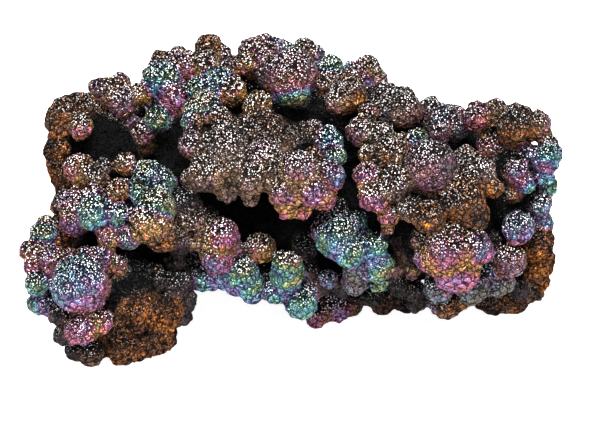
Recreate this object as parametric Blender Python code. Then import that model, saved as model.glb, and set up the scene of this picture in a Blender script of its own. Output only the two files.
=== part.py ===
"""A botryoidal limonite specimen: grape-like lumps grown together in one piece of iron ore.

It rests on its own worn feet. The frame is in metres, +Z up, with the origin in the middle of the
piece, at the surface that it rests on. -Y is the side that shows best.
"""

import math

import bmesh
import bpy
import numpy as np
from mathutils import Matrix

MM = 0.001

# The lumps are listed as they are seen from the front, by an eye that looks down by this much.
LOOK_DOWN = math.radians(30)
EYE_LEVEL = 24.0  # mm above the ground of the point listed as (0, 0, 0)
GROUND = None  # stands for a lump's depth where it stands on the ground
SUNK = 0.8  # height of a standing lump's centre, as a share of its radius

VOXEL = 0.5  # mm, the grain in which the lumps are fused
TRIANGLES = 9600
BALL_SUBDIVISIONS = 4
BACK_SEED = 5
BACK_SIZES = (2.1, 3.9)

# Lumps as (across, up, into the rock, radius), in mm, by the cluster that they belong to.
CLUSTERS = {
    "rust_nodule": (
        (-39.6, 14.6, 3.0, 2.8),
        (-37.5, 15.5, 3.0, 2.7),
        (-41.0, 12.5, 3.5, 2.2),
        (-37.5, 12.0, 1.5, 2.0),
    ),
    "left_wall": (
        (-41.5, 8.5, 4.0, 2.6),
        (-42.0, 6.0, 4.0, 1.9),
        (-40.5, 4.0, 3.0, 2.7),
        (-40.0, -0.5, 2.5, 2.7),
        (-40.0, -4.5, 1.5, 2.5),
        (-40.5, -7.5, 0.5, 2.0),
    ),
    "left_horn": (
        (-33.5, 18.2, 7.0, 2.4),
        (-31.3, 19.6, 7.5, 1.8),
        (-31.0, 16.5, 6.5, 2.8),
        (-30.0, 13.5, 8.0, 2.0),
        (-33.5, 11.0, 9.0, 2.3),
        (-35.5, 9.0, 9.0, 2.2),
    ),
    "left_crest": (
        (-24.0, 20.0, 8.0, 3.4),
        (-27.5, 17.5, 8.0, 1.9),
        (-21.5, 17.0, 7.5, 2.8),
        (-24.5, 14.0, 8.0, 2.6),
        (-24.5, 22.0, 9.5, 1.8),
        (-24.0, 23.4, 11.5, 1.9),
        (-21.0, 24.3, 11.0, 1.9),
        (-20.0, 22.5, 9.0, 2.6),
        (-16.5, 25.5, 12.0, 2.5),
        (-16.5, 22.5, 9.0, 2.2),
        (-14.0, 24.5, 12.0, 1.5),
    ),
    "gold_crest": (
        (-14.5, 19.5, 6.0, 3.3),
        (-12.0, 18.0, 5.0, 2.7),
        (-17.5, 18.5, 6.0, 2.5),
        (-10.5, 22.5, 8.0, 1.7),
        (-12.3, 22.6, 9.5, 1.8),
    ),
    "summit": (
        (-8.0, 24.0, 10.0, 3.5),
        (-6.0, 24.8, 11.0, 2.7),
        (-3.5, 25.0, 11.0, 2.1),
        (-2.5, 21.0, 5.0, 4.4),
        (-2.0, 18.5, 4.5, 3.4),
        (-6.5, 20.0, 7.5, 1.8),
        (0.0, 25.5, 13.0, 1.9),
        (2.0, 24.5, 13.0, 1.6),
    ),
    "right_crest": (
        (4.5, 22.5, 8.0, 2.2),
        (3.5, 19.5, 7.0, 1.9),
        (7.0, 18.0, 5.0, 3.4),
        (5.5, 16.5, 3.5, 1.9),
        (5.5, 13.0, 8.5, 2.6),
        (10.5, 22.0, 12.0, 2.5),
        (12.5, 20.5, 12.0, 1.5),
        (8.0, 21.0, 9.0, 1.6),
    ),
    "right_slope": (
        (13.5, 17.4, 8.5, 2.6),
        (16.5, 16.7, 9.0, 2.4),
        (17.0, 15.0, 7.0, 3.1),
        (13.5, 14.5, 7.0, 2.5),
        (21.0, 15.5, 10.0, 2.0),
        (23.0, 13.5, 9.0, 2.6),
        (25.0, 12.0, 8.5, 2.0),
        (22.5, 11.0, 5.0, 1.9),
        (22.0, 8.5, 7.0, 1.6),
    ),
    "right_head": (
        (29.0, 14.0, 5.0, 2.8),
        (32.0, 15.5, 6.0, 1.6),
        (35.0, 12.5, 3.0, 3.4),
        (39.0, 12.0, 5.0, 2.6),
        (41.0, 9.5, 5.0, 2.0),
        (31.0, 9.0, 6.5, 2.8),
        (34.0, 8.0, 6.0, 2.2),
    ),
    "blue_lobe": (
        (40.5, 7.0, 3.0, 2.8),
        (40.0, 4.5, 3.0, 2.1),
        (37.5, 7.5, 3.5, 1.7),
        (35.5, 4.5, 2.0, 2.2),
        (37.0, 2.5, 2.0, 1.9),
        (35.0, 1.0, 3.0, 1.5),
    ),
    "right_beads": (
        (39.5, -1.0, 4.0, 2.2),
        (40.0, -3.5, 5.0, 1.7),
        (35.5, -4.5, 1.0, 2.9),
        (34.0, -10.0, 2.5, 2.8),
        (32.5, -13.5, 5.0, 2.8),
        (31.0, -6.5, 4.0, 2.1),
        (32.0, -2.0, 5.5, 2.2),
    ),
    "right_rind": (
        (38.5, -7.5, 5.0, 2.8),
        (40.0, -6.5, 6.0, 1.7),
        (39.0, -11.5, 7.0, 2.8),
        (40.0, -14.0, 9.0, 1.9),
        (36.0, -14.5, 8.5, 2.2),
        (40.3, -9.3, 6.5, 2.0),
    ),
    "right_foot": (
        (32.0, -16.5, GROUND, 2.7),
        (35.5, -16.0, GROUND, 2.9),
        (38.3, -15.4, GROUND, 2.4),
        (30.0, -17.1, GROUND, 2.0),
    ),
    "right_boss": (
        (21.0, 5.5, -4.0, 4.5),
        (14.0, 8.0, -1.5, 3.1),
        (11.0, 7.5, 0.0, 2.0),
        (18.5, 10.0, 0.5, 2.1),
        (16.0, 9.5, 0.5, 1.9),
        (15.0, 2.5, -4.0, 3.0),
    ),
    "pink_face": (
        (10.5, 4.0, -4.0, 2.7),
        (11.5, 0.5, -4.0, 2.8),
        (13.5, -2.5, -3.0, 2.0),
        (13.5, -4.5, -2.0, 1.3),
    ),
    "pink_horn": (
        (10.5, 14.5, 3.0, 2.0),
        (9.5, 11.5, 1.5, 2.7),
        (12.5, 11.0, 1.0, 2.4),
    ),
    "rust_cup": (
        (26.0, -0.5, -3.5, 3.8),
        (28.5, -2.5, -2.5, 2.6),
        (29.0, 4.5, -1.0, 2.9),
        (31.0, 2.0, -0.5, 2.0),
        (27.0, 6.5, -0.5, 2.6),
        (26.0, 3.0, -2.5, 2.3),
        (20.5, -2.5, -6.0, 2.9),
        (17.5, -1.5, -4.0, 2.1),
    ),
    "violet_boss": (
        (23.5, -8.0, -4.0, 4.0),
        (28.0, -8.0, -2.5, 3.2),
        (25.0, -11.5, -1.0, 3.9),
        (21.0, -9.5, -2.5, 2.7),
        (19.5, -6.5, -2.0, 1.9),
        (28.0, -14.0, 4.0, 3.1),
        (22.5, -14.5, 3.5, 2.7),
        (30.5, -12.0, 4.0, 2.3),
        (24.0, -17.5, 9.0, 2.5),
        (22.0, -17.0, 9.0, 1.9),
        (26.5, -16.5, 8.5, 2.1),
    ),
    "rust_brow": (
        (-17.0, 15.0, -1.0, 3.1),
        (-18.5, 13.0, -1.5, 2.0),
        (-14.5, 13.0, -1.5, 2.7),
        (-17.5, 13.0, -3.5, 1.2),
        (-8.0, 15.5, -1.0, 2.7),
        (-6.0, 12.0, -2.0, 2.9),
        (-9.0, 11.0, -2.5, 2.8),
        (-3.5, 10.0, -2.0, 2.5),
    ),
    "grey_face": (
        (-18.0, 9.0, -3.0, 3.0),
        (-13.5, 8.5, -4.5, 3.9),
        (-16.0, 4.5, -4.5, 3.6),
        (-12.0, 5.5, -5.0, 2.9),
        (-18.5, 4.0, -3.0, 2.2),
        (-13.0, 1.5, -3.5, 1.9),
        (-6.5, 7.0, -4.5, 3.4),
        (-9.0, 3.0, -5.0, 2.8),
        (-5.5, 4.0, -5.5, 3.1),
        (-9.0, 0.0, -4.0, 1.7),
    ),
    "middle_boss": (
        (-1.0, 5.0, -7.0, 3.4),
        (-3.0, 1.5, -6.5, 3.1),
        (1.0, 1.5, -6.5, 3.1),
        (4.0, 4.0, -6.0, 2.7),
        (3.0, 0.5, -5.5, 2.1),
        (1.0, 7.0, -5.0, 2.0),
        (-3.0, -1.0, -5.0, 2.2),
        (-0.5, -1.5, -5.0, 1.9),
    ),
    "middle_beads": (
        (0.5, 11.0, 1.0, 1.9),
        (-1.5, 10.5, -0.5, 1.7),
        (4.0, 9.5, 0.0, 2.4),
        (1.5, 12.0, 2.5, 1.3),
        (5.0, 7.5, -1.5, 1.9),
    ),
    "left_brow": (
        (-37.5, 5.0, -1.0, 2.7),
        (-35.0, 4.0, -2.0, 2.0),
        (-33.5, 5.5, 0.0, 1.8),
        (-30.0, 6.0, -1.0, 1.8),
        (-31.0, 1.5, -5.0, 2.1),
        (-35.0, 1.0, -4.5, 1.7),
        (-26.0, 4.0, -2.5, 2.6),
        (-24.0, 3.0, -2.5, 2.3),
        (-28.0, 1.5, -4.5, 2.3),
    ),
    "left_face": (
        (-38.5, -0.5, -1.5, 2.7),
        (-38.0, -3.5, -2.5, 2.6),
        (-34.5, -2.0, -4.5, 3.5),
        (-31.0, -3.0, -5.0, 2.7),
        (-25.0, -1.0, -5.5, 3.5),
        (-26.0, -4.0, -6.0, 3.4),
        (-24.0, -6.0, -4.5, 3.0),
        (-29.0, -6.0, -5.0, 2.5),
        (-32.5, -6.0, -4.5, 2.2),
        (-38.8, -6.8, 2.5, 2.4),
    ),
    "dark_matrix": (
        (-20.0, -0.5, -1.0, 2.7),
        (-19.0, -3.5, -1.0, 2.8),
        (-21.0, -7.0, -0.5, 2.8),
        (-16.5, -3.0, 1.0, 2.3),
        (-18.0, -6.5, 0.0, 2.6),
        (-21.5, -10.0, 1.0, 2.0),
        (-14.0, -6.0, -0.5, 3.0),
        (-14.5, -9.5, 0.5, 2.8),
        (-12.0, -8.0, 1.0, 1.9),
        (-17.8, -10.3, 5.5, 2.4),
    ),
    "left_spur": (
        (-43.5, -6.0, 0.0, 2.4),
        (-43.0, -4.0, 1.0, 1.8),
        (-46.0, -8.5, -1.0, 1.8),
        (-44.5, -9.0, -1.5, 2.0),
        (-42.0, -9.5, -3.5, 2.3),
        (-39.5, -9.5, -3.5, 2.0),
        (-42.0, -11.5, -3.0, 1.7),
        (-44.5, -14.0, -2.0, 2.2),
        (-44.5, -17.0, 0.0, 2.0),
        (-42.5, -17.5, -0.5, 1.9),
        (-45.3, -10.9, -1.5, 1.7),
        (-42.3, -15.2, 2.0, 1.9),
    ),
    "teal_dome": (
        (-37.5, -13.5, -6.0, 4.7),
        (-34.0, -10.0, -4.5, 2.7),
        (-31.5, -11.0, -4.0, 2.0),
        (-36.5, -9.0, -4.0, 1.9),
    ),
    "pink_block": (
        (-37.0, -21.0, -4.5, 3.0),
        (-34.0, -20.5, -4.0, 2.3),
        (-40.5, -19.0, -2.0, 2.0),
        (-40.0, -22.5, -1.5, 1.9),
        (-38.0, -25.0, GROUND, 1.7),
    ),
    "left_foot": (
        (-30.5, -22.0, GROUND, 4.6),
        (-25.5, -21.5, GROUND, 4.5),
        (-28.0, -18.0, -1.0, 4.0),
        (-23.0, -18.0, 2.0, 3.3),
        (-35.5, -25.5, GROUND, 2.1),
        (-33.5, -24.5, GROUND, 2.2),
        (-30.5, -25.5, GROUND, 2.4),
        (-27.0, -24.6, GROUND, 2.6),
        (-23.8, -23.6, GROUND, 2.3),
    ),
    "left_sparkles": (
        (-30.5, -14.0, -1.0, 2.4),
        (-28.0, -12.0, -1.0, 2.0),
        (-24.5, -13.5, 0.0, 2.0),
        (-21.5, -14.0, 1.0, 2.5),
        (-20.0, -17.0, 3.0, 2.1),
        (-20.5, -19.5, 4.5, 1.8),
        (-25.0, -12.0, 0.0, 1.6),
    ),
    "teal_hem": (
        (-16.5, -13.0, 3.0, 2.3),
        (-14.0, -12.5, 2.5, 2.3),
        (-11.0, -12.0, 2.0, 3.0),
        (-9.5, -14.0, 3.0, 2.8),
        (-12.0, -14.5, 3.5, 1.7),
        (-8.5, -15.5, 4.0, 1.7),
        (-7.5, -8.0, 2.0, 2.6),
        (-3.0, -10.5, 0.0, 2.4),
        (-3.0, -12.5, 2.0, 2.8),
        (-5.0, -15.5, 4.0, 2.1),
        (-2.5, -14.0, 3.5, 1.8),
    ),
    "low_beads": (
        (-0.5, -17.0, 5.0, 2.9),
        (5.0, -18.0, GROUND, 3.0),
        (7.5, -17.5, GROUND, 2.2),
        (2.4, -19.2, GROUND, 2.2),
        (4.0, -13.0, 3.0, 1.7),
        (11.0, -16.0, 9.0, 2.2),
        (13.2, -16.9, GROUND, 2.4),
        (17.0, -16.6, GROUND, 2.2),
        (0.0, -8.0, 5.0, 2.2),
        (0.5, -12.0, 5.0, 2.0),
        (2.0, -14.3, 6.0, 2.4),
        (5.8, -14.3, 6.5, 2.3),
        (-6.7, -12.8, 5.5, 2.0),
    ),
    "teal_boss": (
        (5.5, -6.0, -1.0, 3.5),
        (3.0, -4.5, 0.5, 2.3),
        (7.5, -8.5, -1.0, 2.9),
        (5.0, -2.0, 2.0, 2.4),
        (8.5, -4.0, 1.0, 2.6),
        (11.0, -8.0, 0.0, 3.2),
        (12.0, -11.0, 1.0, 3.0),
        (8.5, -11.5, 1.0, 2.5),
        (8.5, -13.5, 3.0, 2.4),
        (12.5, -13.5, 4.0, 2.1),
    ),
    "pink_specks": (
        (18.0, -12.0, 4.0, 1.3),
        (17.0, -8.5, 3.0, 1.5),
        (16.5, -6.0, 2.0, 1.5),
        (15.0, -11.0, 5.5, 1.8),
        (16.0, -14.0, 7.0, 1.9),
        (18.5, -15.0, 7.0, 1.8),
        (18.9, -17.0, 8.5, 1.8),
    ),
}

# The rock inside, as ellipsoids: centre and half sizes in mm, and how many lumps its back carries.
CORES = {
    "left_block": ((-30, 4, 19), (10.0, 8.0, 8.5), 0),
    "left_shoulder": ((-34, 13, 24), (6.5, 6.5, 9.5), 14),
    "left_root": ((-31, -6, 9), (7.5, 6.0, 8.5), 0),
    "neck": ((-18, 10, 19), (8.5, 6.5, 9.5), 0),
    "middle_block": ((-8, 6, 30), (11.0, 6.5, 6.5), 0),
    "ridge_left": ((-17, 18, 26), (12.0, 7.5, 11.0), 20),
    "ridge_middle": ((2, 18, 27), (15.0, 8.0, 10.2), 24),
    "ridge_right": ((19.5, 16, 20.5), (12.0, 7.5, 9.8), 20),
    "right_block": ((22, 3, 19), (10.0, 7.5, 11.5), 0),
    "right_end": ((34.5, 8.5, 17), (5.2, 7.0, 12.5), 16),
    "belly": ((4, 9, 14), (24.0, 8.0, 9.5), 0),
    "back_root_left": ((-27, 14, 8), (8.0, 6.5, 9.0), 14),
    "back_root_middle": ((4, 19, 9), (13.0, 7.0, 10.0), 20),
    "back_root_right": ((27, 13, 8), (9.0, 7.0, 9.0), 14),
}
BACK_FACES = 0.1  # a core's back is where its outward direction's Y share is above this


def in_frame(across, up, into, radius):
    """A listed lump's centre in the frame, in mm. One that stands on the ground finds its own depth."""
    sine, cosine = math.sin(LOOK_DOWN), math.cos(LOOK_DOWN)
    if into is GROUND:
        into = (EYE_LEVEL + up * cosine - SUNK * radius) / sine
    return (across, up * sine + into * cosine, EYE_LEVEL + up * cosine - into * sine)


def spread_directions(count, turn):
    """Directions spread evenly over a sphere along a golden spiral, turned by an angle, as count rows."""
    step = np.arange(count) + 0.5
    height = 1 - 2 * step / count
    angle = step * math.pi * (3 - math.sqrt(5)) + turn
    ring = np.sqrt(1 - height**2)
    return np.stack((ring * np.cos(angle), ring * np.sin(angle), height), axis=1)


def listed_lumps():
    """The lumps that the clusters list, as rows of x, y, z, radius."""
    return [
        (*in_frame(*lump), lump[3]) for lumps in CLUSTERS.values() for lump in lumps
    ]


def back_lumps():
    """Lumps over the backs of the cores, which the front doesn't show, as rows of x, y, z, radius."""
    random = np.random.default_rng(BACK_SEED)
    found = []
    for centre, half_sizes, count in CORES.values():
        directions = spread_directions(2 * count, random.uniform(0, math.tau)) if count else []
        for direction in directions:
            radius = random.uniform(*BACK_SIZES)
            place = np.array(centre) + direction * np.array(half_sizes)
            if direction[1] > BACK_FACES and place[2] > SUNK * radius:
                found.append((*place, radius))
    return found


def ball_of(subdivisions):
    """The points and the triangles of a ball of radius 1."""
    mesh = bmesh.new()
    bmesh.ops.create_icosphere(mesh, subdivisions=subdivisions, radius=1)
    points = np.array([vertex.co for vertex in mesh.verts])
    triangles = np.array([[vertex.index for vertex in face.verts] for face in mesh.faces])
    mesh.free()
    return points, triangles


def heap():
    """All the balls that make up the specimen, overlapping, as one mesh in metres."""
    lumps = [(x, y, z, radius, radius, radius) for x, y, z, radius in listed_lumps() + back_lumps()]
    cores = [(*centre, *half_sizes) for centre, half_sizes, _ in CORES.values()]
    points, triangles = ball_of(BALL_SUBDIVISIONS)
    balls = np.array(lumps + cores) * MM
    places = balls[:, None, :3] + points * balls[:, None, 3:]
    corners = triangles + np.arange(len(balls))[:, None, None] * len(points)
    data = bpy.data.meshes.new("limonite_heap")
    data.from_pydata(places.reshape(-1, 3).tolist(), [], corners.reshape(-1, 3).tolist())
    return data


def evaluated(piece):
    """The mesh that the object's modifiers make."""
    graph = bpy.context.evaluated_depsgraph_get()
    graph.update()
    return bpy.data.meshes.new_from_object(piece.evaluated_get(graph))


def keep_largest_shell(data):
    """Removes the walls of the hollows that the lumps enclose, so that the piece is solid inside."""
    mesh = bmesh.new()
    mesh.from_mesh(data)
    left = set(mesh.verts)
    shells = []
    while left:
        front = [left.pop()]
        shell = list(front)
        while front:
            vertex = front.pop()
            for edge in vertex.link_edges:
                other = edge.other_vert(vertex)
                if other in left:
                    left.remove(other)
                    front.append(other)
                    shell.append(other)
        shells.append(shell)
    largest = max(shells, key=len)
    spare = [vertex for shell in shells if shell is not largest for vertex in shell]
    bmesh.ops.delete(mesh, geom=spare, context="VERTS")
    mesh.to_mesh(data)
    mesh.free()


def fuse(piece):
    """Fuses the heap into one closed skin, and thins it to the triangles that its shape needs."""
    remesh = piece.modifiers.new("fuse", "REMESH")
    remesh.mode = "VOXEL"
    remesh.voxel_size = VOXEL * MM
    piece.data = evaluated(piece)
    piece.modifiers.clear()
    keep_largest_shell(piece.data)
    piece.modifiers.new("triangulate", "TRIANGULATE")
    thin = piece.modifiers.new("thin", "DECIMATE")
    piece.data.calc_loop_triangles()
    thin.ratio = TRIANGLES / len(piece.data.loop_triangles)
    piece.data = evaluated(piece)
    piece.modifiers.clear()


def wear_feet_flat(data):
    """Cuts the skin at the ground, where the feet are worn flat, and closes the cuts."""
    mesh = bmesh.new()
    mesh.from_mesh(data)
    bmesh.ops.bisect_plane(
        mesh,
        geom=mesh.verts[:] + mesh.edges[:] + mesh.faces[:],
        dist=1e-7,
        plane_co=(0, 0, 0),
        plane_no=(0, 0, 1),
        clear_inner=True,
    )
    rims = [edge for edge in mesh.edges if edge.is_boundary]
    bmesh.ops.holes_fill(mesh, edges=rims, sides=0)
    bmesh.ops.triangulate(mesh, faces=[face for face in mesh.faces if len(face.verts) > 3])
    bmesh.ops.recalc_face_normals(mesh, faces=mesh.faces[:])
    mesh.to_mesh(data)
    mesh.free()


def centre_on_ground(data):
    """Moves the mesh so that the origin is in the middle of its box, at its base."""
    points = np.empty(len(data.vertices) * 3, np.float32)
    data.vertices.foreach_get("co", points)
    points = points.reshape(-1, 3)
    low, high = points.min(axis=0), points.max(axis=0)
    middle = (low + high) / 2
    data.transform(Matrix.Translation((-middle[0], -middle[1], -low[2])))


def limonite_material():
    """Dark brown iron ore with a submetallic lustre."""
    material = bpy.data.materials.new("limonite")
    material.use_nodes = True
    shader = material.node_tree.nodes["Principled BSDF"]
    shader.inputs["Base Color"].default_value = (0.09, 0.055, 0.045, 1)
    shader.inputs["Metallic"].default_value = 0.5
    shader.inputs["Roughness"].default_value = 0.35
    return material


def main():
    for left_over in list(bpy.data.objects):
        bpy.data.objects.remove(left_over)
    specimen = bpy.data.objects.new("limonite_specimen", heap())
    bpy.context.scene.collection.objects.link(specimen)
    fuse(specimen)
    wear_feet_flat(specimen.data)
    centre_on_ground(specimen.data)
    specimen.data.materials.clear()
    specimen.data.materials.append(limonite_material())
    specimen.data.shade_smooth()
    specimen.data.set_sharp_from_angle(angle=math.radians(60))


main()
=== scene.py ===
# A limonite hand specimen: grape-like lumps of iron ore grown together, with an iridescent tarnish.
# Lengths in the dictionaries are in millimetres, and the meshes are made in metres.
import math

import bpy
import numpy as np
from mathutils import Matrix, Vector


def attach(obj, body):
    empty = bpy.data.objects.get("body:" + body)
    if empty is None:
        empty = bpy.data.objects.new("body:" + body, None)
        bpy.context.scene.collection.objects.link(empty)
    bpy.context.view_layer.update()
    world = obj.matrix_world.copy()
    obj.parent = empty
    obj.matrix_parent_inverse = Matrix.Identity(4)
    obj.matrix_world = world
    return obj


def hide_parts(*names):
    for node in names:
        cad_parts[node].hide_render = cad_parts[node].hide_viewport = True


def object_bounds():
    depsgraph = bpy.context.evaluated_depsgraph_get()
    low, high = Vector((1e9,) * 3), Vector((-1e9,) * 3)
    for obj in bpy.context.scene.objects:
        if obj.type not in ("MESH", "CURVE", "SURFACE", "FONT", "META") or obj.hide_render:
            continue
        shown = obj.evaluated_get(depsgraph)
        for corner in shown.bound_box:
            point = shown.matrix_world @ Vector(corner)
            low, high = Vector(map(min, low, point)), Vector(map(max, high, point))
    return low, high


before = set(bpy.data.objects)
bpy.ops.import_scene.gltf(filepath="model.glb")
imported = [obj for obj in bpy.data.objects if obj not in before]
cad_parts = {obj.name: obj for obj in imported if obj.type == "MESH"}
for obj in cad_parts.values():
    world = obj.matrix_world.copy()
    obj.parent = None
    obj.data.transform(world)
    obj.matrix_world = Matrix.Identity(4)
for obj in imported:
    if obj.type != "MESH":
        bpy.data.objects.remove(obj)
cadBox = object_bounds()
mm = 0.001

# How the lumps were read: by an eye that looks down at the front of the specimen.
reading = {
    "lookDown": math.radians(30),
    "eyeLevel": 24.0,  # height of the point listed as (0, 0, 0)
    "sunk": 0.8,  # height of the centre of a lump that stands on the ground, as a share of its radius
}

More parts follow.
